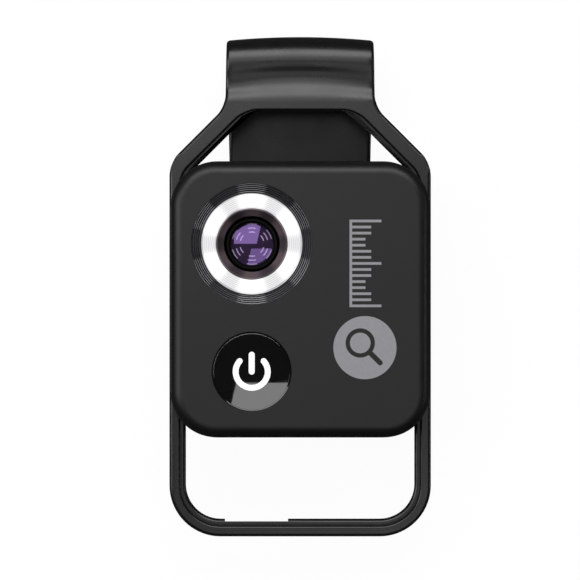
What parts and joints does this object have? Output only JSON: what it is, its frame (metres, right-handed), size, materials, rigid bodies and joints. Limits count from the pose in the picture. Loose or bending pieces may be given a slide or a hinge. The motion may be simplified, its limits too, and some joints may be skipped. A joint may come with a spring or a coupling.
{
  "type": "clip-on phone close-up lens",
  "caption": "Clip-on close-up lens for a phone: a square lens module with a ring light and a push button slides in a springy one-piece clip that hooks over the phone's edge.",
  "frame": {"origin": "on the lying face, under the middle of the whole part", "axes": "+Z out of the lens towards what is looked at; +Y along the clip towards the bend over the phone's edge; +X to the right as seen from the front"},
  "size_m": [0.043, 0.0824, 0.0226],
  "materials": {
    "clip_black": "fine satin moulded black",
    "case_black": "matt black",
    "rear_black": "matt black",
    "soft_black": "soft black rubber",
    "trim_black": "turned, black anodised",
    "milky_white": "milky, lit from behind",
    "barrel_black": "dark bronze black",
    "clear_glass": "coated glass",
    "button_black": "polished black",
    "switch_white": "moulded",
    "steel": "plated steel",
    "board_green": "printed circuit board",
    "lamp_yellow": "lamp with phosphor",
    "chip_black": "moulded chip",
    "ribbon_amber": "flexible printed ribbon",
    "cell_silver": "foil pouch",
    "tape_grey": "foam tape"
  },
  "bodies": {
    "clip": {"clip_frame": "clip_black", "arm_pad": "soft_black"},
    "module": {"slide_plate": "rear_black", "rear_housing": "rear_black", "front_housing": "case_black", "case_screws": "steel", "trim_ring": "trim_black", "milky_ring": "milky_white", "lamp_board": "board_green", "ring_lamps": "lamp_yellow", "lens_barrel": "barrel_black", "front_lens": "clear_glass", "lens_spacer": "barrel_black", "rear_lens": "clear_glass", "lens_retainer": "barrel_black", "eyepiece_cushion": "soft_black", "main_board": "board_green", "board_chips": "chip_black", "switch_body": "steel", "charging_socket": "steel", "socket_tongue": "chip_black", "lamp_ribbon": "ribbon_amber", "battery_cell": "cell_silver", "battery_tape": "tape_grey"},
    "button": {"power_button": "button_black", "switch_plunger": "switch_white"}
  },
  "joints": [
    {"name": "module_slide", "type": "slide", "parent": "clip", "child": "module", "axis": [0, 1, 0], "range_m": [-0.015, 0.001]},
    {"name": "button_press", "type": "slide", "parent": "module", "child": "button", "axis": [0, 0, -1], "range_m": [0, 0.0004], "stiffness_N_per_m": 300, "springref_m": -0.0005}
  ]
}
